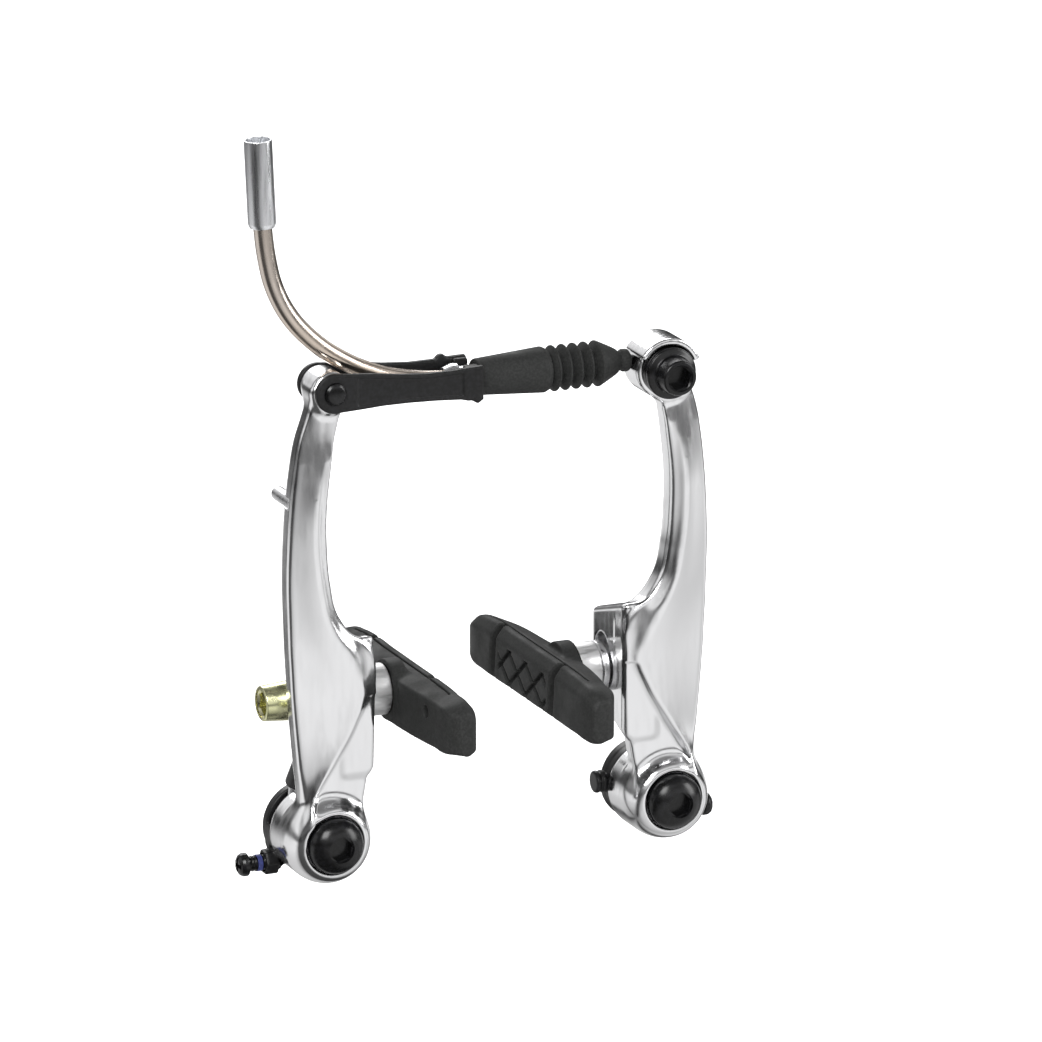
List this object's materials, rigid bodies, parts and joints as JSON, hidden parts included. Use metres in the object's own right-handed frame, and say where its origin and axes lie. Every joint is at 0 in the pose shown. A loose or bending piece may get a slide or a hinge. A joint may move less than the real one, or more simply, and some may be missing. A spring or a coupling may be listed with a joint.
{
  "type": "rim brake caliper",
  "caption": "Linear-pull bicycle rim brake: polished arms on pivot sleeves, pads on ball washers, link, noodle with rubber boot, cable clamp.",
  "frame": {"origin": "midway between the two fork-boss axes, on the plane of the shoulders that the pivot sleeves stand on", "axes": "+Z from the pivots up towards the cable, +Y rearwards into the fork, so the bolt heads face -Y; +X from the arm with the noodle towards the arm with the cable clamp"},
  "size_m": [0.1133, 0.0693, 0.1676],
  "materials": {
    "forged_aluminium": "polished forging, mirror bright on its bevels",
    "plated_steel": "satin plated",
    "stainless_tube": "drawn stainless, slightly warm",
    "bright_ferrule": "bright turned",
    "black_steel": "glossy black plating",
    "black_link": "satin black coating",
    "black_plastic": "moulded black plastic",
    "black_rubber": "matt black rubber",
    "yellow_zinc": "yellow-green zinc plating on steel",
    "white_liner": "natural white plastic"
  },
  "bodies": {
    "fork_mounts": {"left_pivot_sleeve": "plated_steel", "left_mounting_bolt": "black_steel", "left_spring_holder": "black_plastic", "right_pivot_sleeve": "plated_steel", "right_mounting_bolt": "black_steel", "right_spring_holder": "black_plastic"},
    "link_body": {"noodle_link": "black_link", "dust_boot": "black_rubber"},
    "noodle_body": {"noodle_tube": "stainless_tube", "noodle_liner": "white_liner", "noodle_ferrule": "bright_ferrule", "noodle_nose": "bright_ferrule"},
    "boot_tip_body": {"boot_tip": "black_rubber"},
    "cable_clamp_body": {"cable_clamp_washer": "black_steel", "cable_anchor_bolt": "black_steel"},
    "left_arm_body": {"left_arm": "forged_aluminium", "left_return_spring": "plated_steel", "left_spring_sleeve": "black_plastic", "left_spring_stop_pin": "plated_steel", "link_pin": "black_steel"},
    "left_pad_seat": {"left_inner_ball_washer": "plated_steel", "left_outer_ball_washer": "plated_steel"},
    "left_pad_cups": {"left_inner_cup_washer": "plated_steel", "left_outer_cup_washer": "plated_steel"},
    "left_pad_body": {"left_brake_pad": "black_rubber", "left_pad_stud": "plated_steel", "left_flat_washer": "plated_steel", "left_pad_nut": "yellow_zinc"},
    "left_screw_body": {"left_tension_screw": "black_steel"},
    "right_arm_body": {"right_arm": "forged_aluminium", "right_return_spring": "plated_steel", "right_spring_sleeve": "black_plastic", "right_spring_stop_pin": "plated_steel"},
    "right_pad_seat": {"right_inner_ball_washer": "plated_steel", "right_outer_ball_washer": "plated_steel"},
    "right_pad_cups": {"right_inner_cup_washer": "plated_steel", "right_outer_cup_washer": "plated_steel"},
    "right_pad_body": {"right_brake_pad": "black_rubber", "right_pad_stud": "plated_steel", "right_flat_washer": "plated_steel", "right_pad_nut": "yellow_zinc"},
    "right_screw_body": {"right_tension_screw": "black_steel"}
  },
  "joints": [
    {"name": "left_arm_pivot", "type": "hinge", "parent": "fork_mounts", "child": "left_arm_body", "pos_m": [-0.04, -0.0205, 0], "axis": [0, -1, 0], "range_deg": [-4, 20], "stiffness_Nm_per_rad": 0.5, "deforming": ["dust_boot", "boot_tip", "left_return_spring"]},
    {"name": "left_pad_height", "type": "slide", "parent": "left_arm_body", "child": "left_pad_seat", "axis": [0, 0, 1], "range_m": [-0.0035, 0.0027]},
    {"name": "left_pad_toe", "type": "hinge", "parent": "left_pad_seat", "child": "left_pad_cups", "pos_m": [-0.03315, -0.0042, 0.029], "axis": [0, 0, 1], "range_deg": [-3, 3]},
    {"name": "left_pad_angle", "type": "hinge", "parent": "left_pad_cups", "child": "left_pad_body", "pos_m": [-0.03315, -0.0042, 0.029], "axis": [1, 0, 0], "range_deg": [-12, 12]},
    {"name": "left_spring_screw", "type": "slide", "parent": "fork_mounts", "child": "left_screw_body", "axis": [-1, 0, 0], "range_m": [-0.001, 0.002]},
    {"name": "right_arm_pivot", "type": "hinge", "parent": "fork_mounts", "child": "right_arm_body", "pos_m": [0.04, -0.0205, 0], "axis": [0, 1, 0], "range_deg": [-4, 20], "stiffness_Nm_per_rad": 0.5, "deforming": ["dust_boot", "boot_tip", "right_return_spring"]},
    {"name": "right_pad_height", "type": "slide", "parent": "right_arm_body", "child": "right_pad_seat", "axis": [0, 0, 1], "range_m": [-0.0027, 0.0035]},
    {"name": "right_pad_toe", "type": "hinge", "parent": "right_pad_seat", "child": "right_pad_cups", "pos_m": [0.03315, -0.0042, 0.028], "axis": [0, 0, 1], "range_deg": [-3, 3]},
    {"name": "right_pad_angle", "type": "hinge", "parent": "right_pad_cups", "child": "right_pad_body", "pos_m": [0.03315, -0.0042, 0.028], "axis": [1, 0, 0], "range_deg": [-12, 12]},
    {"name": "right_spring_screw", "type": "slide", "parent": "fork_mounts", "child": "right_screw_body", "axis": [1, 0, 0], "range_m": [-0.001, 0.002]},
    {"name": "noodle_link_pivot", "type": "hinge", "parent": "left_arm_body", "child": "link_body", "pos_m": [-0.0392, -0.0177, 0.1007], "axis": [0, 1, 0], "range_deg": [-35, 15]},
    {"name": "noodle_swivel", "type": "hinge", "parent": "link_body", "child": "noodle_body", "pos_m": [-0.0085, -0.0126, 0.0992], "axis": [1, 0, 0], "range_deg": [-12, 12]},
    {"name": "boot_tip_slide", "type": "slide", "parent": "link_body", "child": "boot_tip_body", "axis": [1, 0, 0], "range_m": [-0.01, 0], "stiffness_N_per_m": 150, "deforming": ["dust_boot"]},
    {"name": "cable_clamp", "type": "slide", "parent": "right_arm_body", "child": "cable_clamp_body", "axis": [0, -1, 0], "range_m": [0, 0.002]}
  ]
}
